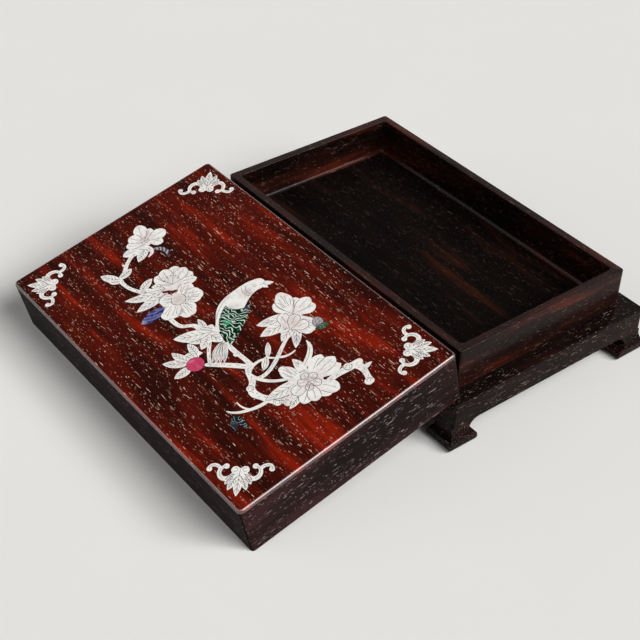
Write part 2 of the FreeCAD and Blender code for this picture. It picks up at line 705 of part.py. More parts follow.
def ornaments():
    """The four corner ornaments, mirrored from one, and the cutters of their pockets."""
    piece = ornament(shell_thickness, 0.0)
    cutter = ornament(pocket_depth + past, glue_gap)
    reach_x = panel_length / 2 - ornament_margin
    reach_y = panel_width / 2 - ornament_margin / 2
    pieces = {}
    cutters = []
    for name, (sx, sy) in zip(corner_names, signs):
        placed = []
        for solid in (piece, cutter):
            turned = solid.mirror(vec(0, 0), vec(1, 0)) if sx > 0 else solid.copy()
            turned = turned.mirror(vec(0, 0), vec(0, 1)) if sy > 0 else turned
            turned.translate(vec(sx * reach_x, sy * reach_y))
            placed.append(turned)
        pieces["inlay_corner_" + name] = placed[0].Solids
        cutters += placed[1].Solids
    return pieces, cutters


def inlay():
    """Shell pieces and the cutters of their pockets, at the height of the pockets' floors."""
    pieces, cutters = spray()
    corner_pieces, corner_cutters = ornaments()
    pieces.update(corner_pieces)
    cutters += corner_cutters
    for solid in cutters + [solid for solids in pieces.values() for solid in solids]:
        solid.translate(vec(0, 0, lid_height - pocket_depth))
    return pieces, cutters


def lean(shape):
    """Puts a piece of the lid, drawn upright and centred, in its leaning place."""
    shape.translate(vec(0, lid_width / 2, 0))
    shape.rotate(vec(0, 0, 0), vec(1, 0, 0), math.degrees(lean_angle))
    shape.translate(vec(0, lid_edge_y, 0))
    return shape


def save(name, solids):
    """Writes one node, its solids kept apart."""
    group = Part.makeCompound(solids) if len(solids) > 1 else solids[0]
    group.translate(vec(0, -part_middle, 0))
    volume = sum(solid.Volume for solid in group.Solids)
    least = min(solid.Volume for solid in group.Solids)
    state = "valid" if group.isValid() else "NOT VALID"
    print(name, len(group.Solids), "solids", round(volume, 2), "mm3, least", round(least, 2), state)
    group.exportStep("parts/" + name + ".step")


def main():
    os.makedirs("parts", exist_ok=True)
    for side, wall in tray_walls().items():
        save("tray_wall_" + side, wall.Solids)
    save("tray_floor", tray_floor().Solids)
    save("tray_mitre_keys", tray_keys())
    for side, rail in stand_rails().items():
        save("stand_rail_" + side, rail.Solids)
    save("stand_mitre_keys", stand_keys())
    for corner, foot in feet().items():
        save("foot_" + corner, foot.Solids)
    save("foot_dowels", foot_dowels())
    for side, rail in lid_rails().items():
        save("lid_rail_" + side, [lean(solid) for solid in rail.Solids])
    save("lid_mitre_keys", [lean(key) for key in lid_keys()])
    pieces, cutters = inlay()
    save("lid_top_panel", [lean(solid) for solid in lid_panel(cutters).Solids])
    for name, solids in pieces.items():
        save(name, [lean(solid) for solid in solids])


main()
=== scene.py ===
import json
import math
import bpy
import bmesh
from mathutils import Matrix, Vector


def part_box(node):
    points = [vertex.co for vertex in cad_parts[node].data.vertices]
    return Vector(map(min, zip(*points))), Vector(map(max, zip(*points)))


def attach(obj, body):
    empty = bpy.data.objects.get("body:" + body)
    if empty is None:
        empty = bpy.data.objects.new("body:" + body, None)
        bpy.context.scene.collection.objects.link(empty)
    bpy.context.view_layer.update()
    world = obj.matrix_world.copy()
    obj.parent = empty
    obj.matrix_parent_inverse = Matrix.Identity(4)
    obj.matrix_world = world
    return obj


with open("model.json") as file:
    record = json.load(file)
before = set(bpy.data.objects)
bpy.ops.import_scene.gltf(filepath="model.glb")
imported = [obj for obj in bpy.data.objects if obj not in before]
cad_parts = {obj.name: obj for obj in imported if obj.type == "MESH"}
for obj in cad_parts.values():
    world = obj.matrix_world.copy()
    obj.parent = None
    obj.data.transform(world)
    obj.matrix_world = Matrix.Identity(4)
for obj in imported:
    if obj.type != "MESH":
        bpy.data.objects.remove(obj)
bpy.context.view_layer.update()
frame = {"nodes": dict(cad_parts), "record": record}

nodes = frame["nodes"]
mm = 0.001


# where the leaning lid is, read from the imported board: X runs along it, Y up its slope, Z out of its top
def findLid():
    board = nodes["lid_top_panel"].data
    top = max(board.polygons, key=lambda face: face.area * (face.normal.z > 0.5))
    up = top.normal.normalized()
    along = Vector((1, 0, 0))
    slope = up.cross(along)
    points = [vertex.co for vertex in board.vertices]
    slopes = [point.dot(slope) for point in points]
    middle = slope * (min(slopes) + max(slopes)) / 2 + up * max(point.dot(up) for point in points)
    turn = Matrix((along, slope, up)).transposed().to_4x4()
    size = (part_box("lid_top_panel")[1].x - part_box("lid_top_panel")[0].x, max(slopes) - min(slopes))
    return Matrix.Translation(middle) @ turn, size


lidPlace, lidSize = findLid()
shellTop = max((lidPlace.inverted() @ vertex.co).z for vertex in nodes["inlay_fruit"].data.vertices)


def lidPoint(x, y, height=0.0):
    return lidPlace @ Vector((x * mm, y * mm, shellTop + height * mm))


lidTurn = lidPlace.to_euler()
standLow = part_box("stand_rail_front")[0]
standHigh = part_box("stand_rail_back")[1]
standMiddle = Vector(((standLow.x + standHigh.x) / 2, (standLow.y + standHigh.y) / 2, 0))
print("frame read, lid leans", round(math.degrees(lidTurn.x), 2), "degrees")


# shader helpers
def addNode(tree, kind, **values):
    node = tree.nodes.new(kind)
    for name, value in values.items():
        setattr(node, name, value)
    return node


def link(tree, source, target):
    tree.links.new(source, target)


def mathNode(tree, operation, first, second=None, third=None, clamp=False):
    node = addNode(tree, "ShaderNodeMath", operation=operation, use_clamp=clamp)
    for index, value in enumerate((first, second, third)):
        if value is None:
            continue
        if isinstance(value, (int, float)):
            node.inputs[index].default_value = value
        else:
            link(tree, value, node.inputs[index])
    return node.outputs[0]


def mixColor(tree, factor, first, second):
    node = addNode(tree, "ShaderNodeMix", data_type="RGBA")
    for index, value in ((0, factor), (6, first), (7, second)):
        if isinstance(value, (int, float)):
            node.inputs[index].default_value = value
        elif isinstance(value, (tuple, list)):
            node.inputs[index].default_value = (*value, 1.0)
        else:
            link(tree, value, node.inputs[index])
    return node.outputs[2]


def ramp(tree, factor, stops):
    node = addNode(tree, "ShaderNodeValToRGB")
    line = node.color_ramp
    while len(line.elements) < len(stops):
        line.elements.new(0.5)
    for element, (position, color) in zip(line.elements, stops):
        element.position = position
        element.color = (*color, 1.0)
    link(tree, factor, node.inputs[0])
    return node.outputs[0]


def stretched(tree, vector, scale, place=(0.0, 0.0, 0.0)):
    node = addNode(tree, "ShaderNodeMapping")
    node.inputs["Location"].default_value = place
    node.inputs["Scale"].default_value = scale
    link(tree, vector, node.inputs["Vector"])
    return node.outputs[0]


def noise(tree, vector, scale=1.0, detail=4.0, roughness=0.55, distortion=0.0):
    node = addNode(tree, "ShaderNodeTexNoise")
    node.inputs["Scale"].default_value = scale
    node.inputs["Detail"].default_value = detail
    node.inputs["Roughness"].default_value = roughness
    node.inputs["Distortion"].default_value = distortion
    link(tree, vector, node.inputs["Vector"])
    return node.outputs["Fac"]


def newGroup(name, inputs, outputs):
    tree = bpy.data.node_groups.new(name, "ShaderNodeTree")
    for title, kind, value in inputs:
        socket = tree.interface.new_socket(name=title, in_out="INPUT", socket_type=kind)
        if value is not None:
            socket.default_value = value
    for title, kind in outputs:
        tree.interface.new_socket(name=title, in_out="OUTPUT", socket_type=kind)
    return tree, addNode(tree, "NodeGroupInput"), addNode(tree, "NodeGroupOutput")


# rosewood: wavy dark and red bands along the grain, with pale pores as dashes and as dots
# the figure's scales are per millimetre with X along the grain, push is how far the waves go in millimetres,
# and the pairs are a factor and an offset: what redness adds, where body and red set in, how streaks shade
figure = {
    "wave": (0.012, 0.03, 0.03), "push": 9.0, "broad": (0.012, 0.075, 0.075), "narrow": (0.022, 0.24, 0.24),
    "streak": (0.05, 1.5, 1.5), "crowd": (0.03, 0.14, 0.14), "broadShare": 0.8, "narrowShare": 0.55,
    "redness": (0.4, -0.375), "body": (4.0, -1.5), "red": (4.4, -2.5), "shade": (1.6, 0.2),
}
# what all pores share: spread of their sizes, sharpness, how they crowd, spread and contrast of brightness
poreShape = {
    "size": (0.6, 0.4), "sharpness": 18.0, "crowd": (0.9, -0.45), "glow": (0.8, 0.2), "contrast": 2.2,
    "depth": -0.6, "streakHeight": 0.5,
}
# spacing is that of the pores along and across the grain, reach their size in it, share how many are filled
pores = (
    {"spacing": (10.0, 0.75), "reach": 0.35, "shift": 0.0, "share": 0.22},
    {"spacing": (4.4, 0.68), "reach": 0.36, "shift": 31.0, "share": 0.32},
    {"spacing": (2.2, 0.64), "reach": 0.35, "shift": 57.0, "share": 0.34},
)


def makeGrainGroup():
    tree, given, result = newGroup("rosewoodGrain", [
        ("Vector", "NodeSocketVector", None),
        ("Dark", "NodeSocketColor", (0.012, 0.004, 0.003, 1)),
        ("Body", "NodeSocketColor", (0.055, 0.006, 0.003, 1)),
        ("Red", "NodeSocketColor", (0.2, 0.01, 0.003, 1)),
        ("Pore", "NodeSocketColor", (0.5, 0.33, 0.26, 1)),
        ("Redness", "NodeSocketFloat", 0.5),
        ("Pore Strength", "NodeSocketFloat", 1.0),
    ], [("Color", "NodeSocketColor"), ("Pores", "NodeSocketFloat"), ("Height", "NodeSocketFloat")])
    vector = given.outputs["Vector"]

    # slow waves push the grain sideways
    wave = addNode(tree, "ShaderNodeTexNoise")
    wave.inputs["Scale"].default_value = 1.0
    wave.inputs["Detail"].default_value = 2.0
    link(tree, stretched(tree, vector, figure["wave"]), wave.inputs["Vector"])
    push = addNode(tree, "ShaderNodeVectorMath", operation="MULTIPLY_ADD")
    link(tree, wave.outputs["Color"], push.inputs[0])
    push.inputs[1].default_value = (0.0, figure["push"], figure["push"])
    link(tree, vector, push.inputs[2])
    bent = push.outputs[0]

    # broad soft bands, narrower ones, then fine streaks
    broad = noise(tree, stretched(tree, bent, figure["broad"]), detail=2.0, roughness=0.5)
    narrow = noise(tree, stretched(tree, bent, figure["narrow"]), detail=4.0, roughness=0.65)
    band = mathNode(tree, "MULTIPLY", broad, figure["broadShare"])
    band = mathNode(tree, "MULTIPLY_ADD", narrow, figure["narrowShare"], band)
    redness = mathNode(tree, "MULTIPLY_ADD", given.outputs["Redness"], *figure["redness"])
    band = mathNode(tree, "ADD", band, redness)
    body = mathNode(tree, "MULTIPLY_ADD", band, *figure["body"], clamp=True)
    red = mathNode(tree, "MULTIPLY_ADD", band, *figure["red"], clamp=True)
    color = mixColor(tree, body, given.outputs["Dark"], given.outputs["Body"])
    color = mixColor(tree, red, color, given.outputs["Red"])
    streak = noise(tree, stretched(tree, bent, figure["streak"]), detail=3.0, roughness=0.7)
    shade = mathNode(tree, "MULTIPLY_ADD", streak, *figure["shade"])
    shaded = addNode(tree, "ShaderNodeVectorMath", operation="SCALE")
    link(tree, color, shaded.inputs[0])
    link(tree, shade, shaded.inputs["Scale"])
    color = shaded.outputs[0]

    # pores: long dashes, short dashes and dots, each with its own length and brightness
    crowded = noise(tree, stretched(tree, bent, figure["crowd"]), detail=2.0)
    crowded = mathNode(tree, "MULTIPLY_ADD", crowded, *poreShape["crowd"])
    masks = []
    for pore in pores:
        spots = addNode(tree, "ShaderNodeTexVoronoi", feature="F1")
        spots.inputs["Scale"].default_value = 1.0
        cell = (1 / pore["spacing"][0], 1 / pore["spacing"][1], 1 / pore["spacing"][1])
        link(tree, stretched(tree, bent, cell, (pore["shift"],) * 3), spots.inputs["Vector"])
        parts = addNode(tree, "ShaderNodeSeparateColor")
        link(tree, spots.outputs["Color"], parts.inputs[0])
        size = mathNode(tree, "MULTIPLY_ADD", parts.outputs[0], *poreShape["size"])
        size = mathNode(tree, "MULTIPLY", size, pore["reach"])
        spot = mathNode(tree, "SUBTRACT", size, spots.outputs["Distance"])
        spot = mathNode(tree, "MULTIPLY", spot, poreShape["sharpness"], clamp=True)
        kept = mathNode(tree, "ADD", parts.outputs[1], crowded)
        kept = mathNode(tree, "GREATER_THAN", kept, 1.0 - pore["share"])
        glow = mathNode(tree, "MULTIPLY_ADD", parts.outputs[2], *poreShape["glow"])
        glow = mathNode(tree, "POWER", glow, poreShape["contrast"])
        masks.append(mathNode(tree, "MULTIPLY", mathNode(tree, "MULTIPLY", spot, kept), glow))
    found = mathNode(tree, "MAXIMUM", mathNode(tree, "MAXIMUM", masks[0], masks[1]), masks[2])
    found = mathNode(tree, "MULTIPLY", found, given.outputs["Pore Strength"], clamp=True)
    color = mixColor(tree, found, color, given.outputs["Pore"])
    link(tree, color, result.inputs["Color"])
    link(tree, found, result.inputs["Pores"])
    height = mathNode(tree, "MULTIPLY", streak, poreShape["streakHeight"])
    height = mathNode(tree, "MULTIPLY_ADD", found, poreShape["depth"], height)
    link(tree, height, result.inputs["Height"])
    return tree


grainGroup = makeGrainGroup()


# 0 on the flat of the lid's top and 1 on its rounded edges, which handling has polished
# the mask sets in where the surface leans 15 degrees away from the top and is full at 28 degrees
edgeFade = (-12.0, 11.6)


def edgeMask(tree, normal):
    facing = addNode(tree, "ShaderNodeVectorMath", operation="DOT_PRODUCT")
    link(tree, normal, facing.inputs[0])
    facing.inputs[1].default_value = lidPlace.to_3x3().col[2]
    return mathNode(tree, "MULTIPLY_ADD", facing.outputs["Value"], *edgeFade, clamp=True)


def newMaterial(name):
    material = bpy.data.materials.new(name)
    material.use_nodes = True
    tree = material.node_tree
    tree.nodes.clear()
    output = addNode(tree, "ShaderNodeOutputMaterial")
    shader = addNode(tree, "ShaderNodeBsdfPrincipled")
    link(tree, shader.outputs[0], output.inputs["Surface"])
    coords = addNode(tree, "ShaderNodeTexCoord")
    return material, tree, shader, coords.outputs["Object"]


# pores and growth lines are a tenth of a millimetre deep
def addBump(tree, shader, height, strength):
    bump = addNode(tree, "ShaderNodeBump")
    bump.inputs["Strength"].default_value = strength
    bump.inputs["Distance"].default_value = 0.1 * mm
    link(tree, height, bump.inputs["Height"])
    link(tree, bump.outputs[0], shader.inputs["Normal"])


# one board: turn brings the grain onto X, shift gives it a stretch of the tree of its own
def makeWood(name, look, turn=(0.0, 0.0, 0.0), shift=(0.0, 0.0, 0.0), polished=False):
    material, tree, shader, coords = newMaterial(name)
    sized = stretched(tree, coords, (1 / mm, 1 / mm, 1 / mm))
    turned = addNode(tree, "ShaderNodeMapping")
    turned.inputs["Rotation"].default_value = turn
    turned.inputs["Location"].default_value = shift
    link(tree, sized, turned.inputs["Vector"])
    grain = addNode(tree, "ShaderNodeGroup", node_tree=grainGroup)
    link(tree, turned.outputs[0], grain.inputs["Vector"])
    for title, key in (("Dark", "dark"), ("Body", "body"), ("Red", "red"), ("Pore", "pore")):
        grain.inputs[title].default_value = (*look[key], 1.0)
    grain.inputs["Redness"].default_value = look["redness"]
    grain.inputs["Pore Strength"].default_value = look["poreStrength"]
    link(tree, grain.outputs["Color"], shader.inputs["Base Color"])
    rough = mathNode(tree, "MULTIPLY_ADD", grain.outputs["Pores"], look["poreRoughness"], look["roughness"])
    link(tree, rough, shader.inputs["Roughness"])
    addBump(tree, shader, grain.outputs["Height"], look["bump"])
    shader.inputs["Specular IOR Level"].default_value = look["gloss"]
    shader.inputs["Coat Weight"].default_value = look["lacquer"]
    shader.inputs["Coat Roughness"].default_value = look["coatRoughness"]
    shader.inputs["Coat IOR"].default_value = look["coatIor"]
    if polished:
        normal = addNode(tree, "ShaderNodeTexCoord").outputs["Normal"]
        link(tree, edgeMask(tree, normal), shader.inputs["Coat Weight"])
    return material


panelLook = {
    "dark": (0.022, 0.003, 0.0018), "body": (0.092, 0.0068, 0.0028), "red": (0.3, 0.015, 0.004),
    "pore": (0.72, 0.47, 0.34), "redness": 0.5, "poreStrength": 1.0,
    "roughness": 0.35, "poreRoughness": 0.3, "bump": 0.25, "gloss": 0.02,
    "lacquer": 0.0, "coatRoughness": 0.32, "coatIor": 1.9,
}
lidSideLook = dict(
    panelLook, dark=(0.008, 0.0034, 0.0032), body=(0.027, 0.0105, 0.01), red=(0.045, 0.015, 0.012),
    redness=0.45, pore=(0.4, 0.31, 0.32), poreStrength=0.8, roughness=0.28, gloss=0.03,
)
# the lid's long boards are the same wood as its short ends, with every colour darkened as painted shade
lidLongShadedLook = dict(
    lidSideLook, dark=(0.005, 0.0022, 0.002), body=(0.014, 0.0052, 0.0046), red=(0.03, 0.008, 0.006),
    gloss=0.006,
)
trayLook = dict(
    panelLook, dark=(0.003, 0.0016, 0.0013), body=(0.017, 0.0044, 0.0028), red=(0.07, 0.011, 0.005),
    redness=0.53, pore=(0.26, 0.16, 0.12), poreStrength=0.5, roughness=0.22, gloss=0.04, lacquer=0.07,
)
# the tray's floor is darker than its walls: partly its own darker wood, partly painted shade down in the tray
floorWoodAndShadeLook = dict(
    trayLook, dark=(0.0022, 0.0016, 0.0014), body=(0.0052, 0.003, 0.0024), red=(0.028, 0.007, 0.0035),
    redness=0.46, pore=(0.1, 0.075, 0.065), roughness=0.42, gloss=0.01, lacquer=0.0,
)
standLook = dict(
    trayLook, dark=(0.003, 0.002, 0.0018), body=(0.01, 0.004, 0.0028), red=(0.036, 0.0075, 0.004),
    pore=(0.42, 0.3, 0.25), poreStrength=0.55, lacquer=0.0,
)
hiddenLook = dict(
    panelLook, dark=(0.12, 0.06, 0.03), body=(0.25, 0.14, 0.07), red=(0.32, 0.18, 0.09), poreStrength=0.2,
)

quarter = math.radians(90)
lidAway = (-lidTurn.x, 0.0, 0.0)


# boards whose grain runs up the lid's slope: the slope is first laid level, then turned onto X
def acrossTurn(lean):
    turned = Matrix.Rotation(-quarter, 3, "Z") @ Matrix.Rotation(-lean, 3, "X")
    return tuple(turned.to_euler())


lidAcross = acrossTurn(lidTurn.x)
levelAcross = acrossTurn(0.0)
woods = {
    "panel": makeWood("rosewoodPanel", panelLook, lidAway, (40.0, 13.0, 0.0), polished=True),
    # the long boards take the darkened copy of the lid's wood: painted shade
    "lidLong": makeWood("rosewoodLidLongShaded", lidLongShadedLook, lidAway, (300.0, 60.0, 20.0)),
    "lidShort": makeWood("rosewoodLidShort", lidSideLook, lidAcross, (500.0, 150.0, 70.0)),
    "trayLong": makeWood("rosewoodTrayLong", trayLook, (0.0, 0.0, 0.0), (700.0, 40.0, 10.0)),
    "trayShort": makeWood("rosewoodTrayShort", trayLook, levelAcross, (900.0, 90.0, 30.0)),
    # the floor takes the darker copy of the tray's wood: partly its own darker wood, partly painted shade
    "trayFloor": makeWood("rosewoodTrayFloor", floorWoodAndShadeLook, (0.0, 0.0, 0.0), (1100.0, 10.0, 50.0)),
    "standLong": makeWood("rosewoodStandLong", standLook, (0.0, 0.0, 0.0), (1300.0, 70.0, 20.0)),
    "standShort": makeWood("rosewoodStandShort", standLook, levelAcross, (1500.0, 20.0, 40.0)),
    "joinery": makeWood("plainHardwood", hiddenLook),
}
print("wood made")


# shell: mottled clouds of two tints over a base, each with a scale per millimetre and a factor and an offset
shellClouds = {
    "warm": {"scale": (0.16, 0.16, 0.16), "place": (0.0, 0.0, 0.0), "fade": (4.0, -1.9)},
    "cool": {"scale": (0.22, 0.22, 0.22), "place": (41.0, 7.0, 3.0), "fade": (5.0, -2.6)},
}


def makeShellGroup():
    tree, given, result = newGroup("shellClouds", [
        ("Vector", "NodeSocketVector", None),
        ("Base", "NodeSocketColor", (0.8, 0.78, 0.74, 1)),
        ("Warm", "NodeSocketColor", (0.7, 0.6, 0.6, 1)),
        ("Cool", "NodeSocketColor", (0.6, 0.65, 0.7, 1)),
        ("Amount", "NodeSocketFloat", 0.5),
    ], [("Color", "NodeSocketColor"), ("Height", "NodeSocketFloat")])
    vector = given.outputs["Vector"]
    first, second = shellClouds["warm"], shellClouds["cool"]
    warm = stretched(tree, vector, first["scale"], first["place"])
    warm = noise(tree, warm, detail=4.0, distortion=0.8)
    warm = mathNode(tree, "MULTIPLY_ADD", warm, *first["fade"], clamp=True)
    cool = stretched(tree, vector, second["scale"], second["place"])
    cool = noise(tree, cool, detail=5.0, distortion=1.2)
    cool = mathNode(tree, "MULTIPLY_ADD", cool, *second["fade"], clamp=True)
    color = mixColor(tree, mathNode(tree, "MULTIPLY", warm, given.outputs["Amount"]),
                     given.outputs["Base"], given.outputs["Warm"])
    color = mixColor(tree, mathNode(tree, "MULTIPLY", cool, given.outputs["Amount"]),
                     color, given.outputs["Cool"])
    link(tree, color, result.inputs["Color"])
    link(tree, cool, result.inputs["Height"])
    return tree


shellGroup = makeShellGroup()

# where the white shell is tinted pinkish grey, partly its own pink and partly painted shade for depth:
# blossom hearts and the bird's neck, in millimetres on the lid
pinkAndShadeSpots = (
    {"at": (-30.0, -10.6), "reach": 5.6, "strength": 0.55},
    {"at": (77.0, 5.0), "reach": 8.0, "strength": 0.26},
    {"at": (37.0, 24.0), "reach": 7.0, "strength": 0.28},
    {"at": (-90.0, 4.0), "reach": 6.0, "strength": 0.34},
    {"at": (-46.0, -5.0), "reach": 7.0, "strength": 0.26},
    {"at": (-3.6, 20.6), "reach": 4.2, "strength": 0.4},
)


def makeShell(name, look):
    material, tree, shader, coords = newMaterial(name)
    sized = stretched(tree, coords, (1 / mm, 1 / mm, 1 / mm))
    clouds = addNode(tree, "ShaderNodeGroup", node_tree=shellGroup)
    link(tree, sized, clouds.inputs["Vector"])
    for title, key in (("Base", "base"), ("Warm", "warm"), ("Cool", "cool")):
        clouds.inputs[title].default_value = (*look[key], 1.0)
    clouds.inputs["Amount"].default_value = look["amount"]
    color = clouds.outputs["Color"]
    # each spot mixes in a pinkish grey round its middle: partly the shell's own pink, partly painted shade at
    # blossom hearts and the bird's neck
    for pinkAndShade in look["pinkAndShadeSpots"]:
        away = addNode(tree, "ShaderNodeVectorMath", operation="DISTANCE")
        link(tree, sized, away.inputs[0])
        away.inputs[1].default_value = lidPoint(*pinkAndShade["at"]) / mm
        near = mathNode(tree, "MULTIPLY_ADD", away.outputs["Value"], -1 / pinkAndShade["reach"], 1.0, clamp=True)
        near = mathNode(tree, "POWER", near, look["pinkAndShadeFade"])
        near = mathNode(tree, "MULTIPLY", near, pinkAndShade["strength"])
        color = mixColor(tree, near, color, look["pinkAndShade"])
    link(tree, color, shader.inputs["Base Color"])
    shader.inputs["Roughness"].default_value = look["roughness"]
    shader.inputs["Specular IOR Level"].default_value = look["gloss"]
    addBump(tree, shader, clouds.outputs["Height"], look["bump"])
    return material


# abalone: wavy rings round a heart, coloured by stops, with clouds and spots of other colours
# repeat is how far apart the rings of a wave node are at a scale of 1
rings = {"repeat": 0.314, "detail": 2.0, "detailScale": 0.8, "detailRoughness": 0.6}
ringClouds = {"scale": 0.22, "fade": (4.0, -1.7)}


def makeAbalone(name, look):
    material, tree, shader, coords = newMaterial(name)
    sized = stretched(tree, coords, (1 / mm, 1 / mm, 1 / mm), -lidPoint(*look["heart"]) / mm)
    waves = addNode(tree, "ShaderNodeTexWave", wave_type="RINGS", rings_direction="SPHERICAL")
    waves.inputs["Scale"].default_value = rings["repeat"] / look["spacing"]
    waves.inputs["Distortion"].default_value = look["distortion"]
    waves.inputs["Detail"].default_value = rings["detail"]
    waves.inputs["Detail Scale"].default_value = rings["detailScale"]
    waves.inputs["Detail Roughness"].default_value = rings["detailRoughness"]
    link(tree, sized, waves.inputs["Vector"])
    bands = ramp(tree, waves.outputs["Fac"], look["stops"])
    cloud = noise(tree, sized, scale=ringClouds["scale"], detail=2.0)
    cloud = mathNode(tree, "MULTIPLY_ADD", cloud, *ringClouds["fade"], clamp=True)
    color = mixColor(tree, mathNode(tree, "MULTIPLY", cloud, look["cloudShare"]), bands, look["cloud"])
    for spot in look["spots"]:
        away = addNode(tree, "ShaderNodeVectorMath", operation="DISTANCE")
        link(tree, coords, away.inputs[0])
        away.inputs[1].default_value = lidPoint(*spot["at"])
        fade = -1 / (spot["reach"] * mm)
        near = mathNode(tree, "MULTIPLY_ADD", away.outputs["Value"], fade, 1.0, clamp=True)
        color = mixColor(tree, mathNode(tree, "MULTIPLY", near, spot["strength"]), color, spot["color"])
    link(tree, color, shader.inputs["Base Color"])
    shader.inputs["Roughness"].default_value = look["roughness"]
    shader.inputs["Specular IOR Level"].default_value = look["gloss"]
    return material


whiteLook = {
    "base": (0.83, 0.81, 0.76), "warm": (0.66, 0.53, 0.52), "cool": (0.5, 0.56, 0.6), "amount": 0.8,
    # pinkish grey of the spots: partly the shell's own pink, partly painted shade
    "pinkAndShade": (0.42, 0.24, 0.22), "pinkAndShadeSpots": pinkAndShadeSpots, "pinkAndShadeFade": 0.6,
    "roughness": 0.45, "gloss": 0.05, "bump": 0.2,
}
crimsonLook = dict(
    whiteLook, base=(0.5, 0.05, 0.12), warm=(0.66, 0.17, 0.26), cool=(0.28, 0.015, 0.05),
    amount=0.9, pinkAndShadeSpots=(),
)
wingLook = {
    "roughness": 0.4, "gloss": 0.05,
    "heart": (14.0, -16.0), "spacing": 2.2, "distortion": 18.0,
    "cloudShare": 0.45, "cloud": (0.003, 0.018, 0.008),
    "stops": [(0.0, (0.001, 0.003, 0.002)), (0.42, (0.003, 0.016, 0.007)), (0.58, (0.008, 0.13, 0.035)),
              (0.76, (0.03, 0.25, 0.08)), (0.86, (0.4, 0.5, 0.44)), (1.0, (0.8, 0.82, 0.8))],
    "spots": (
        {"at": (7.2, -1.0), "reach": 3.0, "strength": 0.8, "color": (0.06, 0.5, 0.22)},
        {"at": (6.2, 14.6), "reach": 5.0, "strength": 0.6, "color": (0.07, 0.07, 0.16)},
    ),
}
blueLook = dict(
    wingLook, heart=(-40.0, -24.0), spacing=2.6, distortion=7.0, cloudShare=0.35, cloud=(0.3, 0.3, 0.5),
    stops=[(0.0, (0.006, 0.007, 0.03)), (0.35, (0.03, 0.035, 0.16)), (0.7, (0.07, 0.08, 0.34)),
              (1.0, (0.16, 0.17, 0.45))],
    spots=({"at": (-30.0, -36.4), "reach": 3.0, "strength": 0.7, "color": (0.4, 0.42, 0.42)},),
)
greyLook = dict(
    wingLook, heart=(-80.0, 0.0), spacing=2.4, distortion=6.0, cloudShare=0.5, cloud=(0.3, 0.26, 0.32),
    stops=[(0.0, (0.015, 0.015, 0.02)), (0.4, (0.1, 0.09, 0.12)), (0.8, (0.3, 0.27, 0.32)),
              (1.0, (0.5, 0.48, 0.5))],
    spots=({"at": (44.0, 36.4), "reach": 6.0, "strength": 0.9, "color": (0.44, 0.4, 0.41)},),
)
greenLook = dict(
    wingLook, heart=(60.0, 20.0), spacing=1.6, distortion=20.0, cloudShare=0.85, cloud=(0.012, 0.012, 0.018),
    stops=[(0.0, (0.003, 0.004, 0.006)), (0.5, (0.005, 0.01, 0.011)), (0.75, (0.01, 0.03, 0.025)),
              (0.9, (0.04, 0.09, 0.09)), (1.0, (0.35, 0.4, 0.45))],
    spots=({"at": (49.6, 36.6), "reach": 5.0, "strength": 0.5, "color": (0.06, 0.25, 0.08)},),
)
shells = {
    "white_shell": makeShell("whiteShell", whiteLook),
    "crimson_shell": makeShell("crimsonShell", crimsonLook),
    "blue_shell": makeAbalone("blueShell", blueLook),
    "grey_shell": makeAbalone("greyShell", greyLook),
    "green_shell": makeAbalone("greenShell", greenLook),
    "abalone_shell": makeAbalone("abaloneShell", wingLook),
}
print("shell made")


def dress(name, material):
    data = nodes[name].data
    data.materials.clear()
    data.materials.append(material)


def dressNodes():
    slots = {part["node"]: part["material_slot"] for part in frame["record"]["subparts"]}
    for name, slotName in slots.items():
        side = name.rsplit("_", 1)[-1]
        run = "Long" if side in ("front", "back") else "Short"
        if slotName in shells:
            dress(name, shells[slotName])
        elif slotName == "panel_wood":
            dress(name, woods["panel"])
        elif slotName == "lid_wood":
            dress(name, woods["lid" + run])
        elif name == "tray_floor":
            dress(name, woods["trayFloor"])
        elif slotName == "tray_wood":
            dress(name, woods["tray" + run])
        elif name.startswith("foot_") and slotName == "stand_wood":
            dress(name, woods["standLong"])
        elif slotName == "stand_wood":
            dress(name, woods["stand" + run])
        else:
            dress(name, woods["joinery"])


dressNodes()
print("nodes dressed", len(nodes))


# the spray's shapes as the shell is sawn, on its own X and Y, in front to back order
# leaf and feather: start, end, width and bend; petal: lobes, foot, end and width; disc and knot: middle and
# radius; bare, band, bark and scroll: stations of x, y and half width; wing: corners and points of the arcs
spray = {"margin": 16.0, "length": 211.2, "middle": 0.3}
# where a petal's lobes are centred along it, their reach in the notches and on the crests, spread in degrees
petalShape = {"middle": 0.58, "notch": 0.94, "crest": 1.03, "spread": 112}
bird = (
    ("wing", (4.4, 18.0), (13.9, 7.0), (22.6, -9.6), (8.4, -7.5), (-5.0, 6.2), (2.6, 9.4)),
    ("bare", (-5.4, 30.8, 4.3), (-6.4, 26.0, 4.8), (-5.6, 19.0, 5.9), (-3.2, 11.0, 7.6), (1.0, 3.0, 7.0),
     (5.6, -4.0, 4.0), (7.6, -8.4, 2.0)),
    ("feather", 17.0, -10.6, 31.2, -20.6, 3.2, 0.7),
    ("feather", 17.0, -10.8, 30.0, -23.2, 3.2, 0.5),
    ("feather", 17.0, -11.0, 28.2, -25.0, 3.2, 0.2),
    ("feather", 17.0, -11.2, 25.8, -25.6, 3.2, -0.3),
    ("feather", 16.8, -11.4, 23.6, -23.8, 2.8, -0.6),
)
colouredLeaves = (
    ("disc", 19.8, -33.0, 5.3),
    ("leaf", -31.6, -20.0, -30.0, -38.0, 7.8, 0.3),
    ("feather", 50.4, 41.0, 48.8, 32.0, 4.2, 0.4),
    ("feather", 41.4, 37.6, 49.4, 34.0, 6.4, 0.6),
)
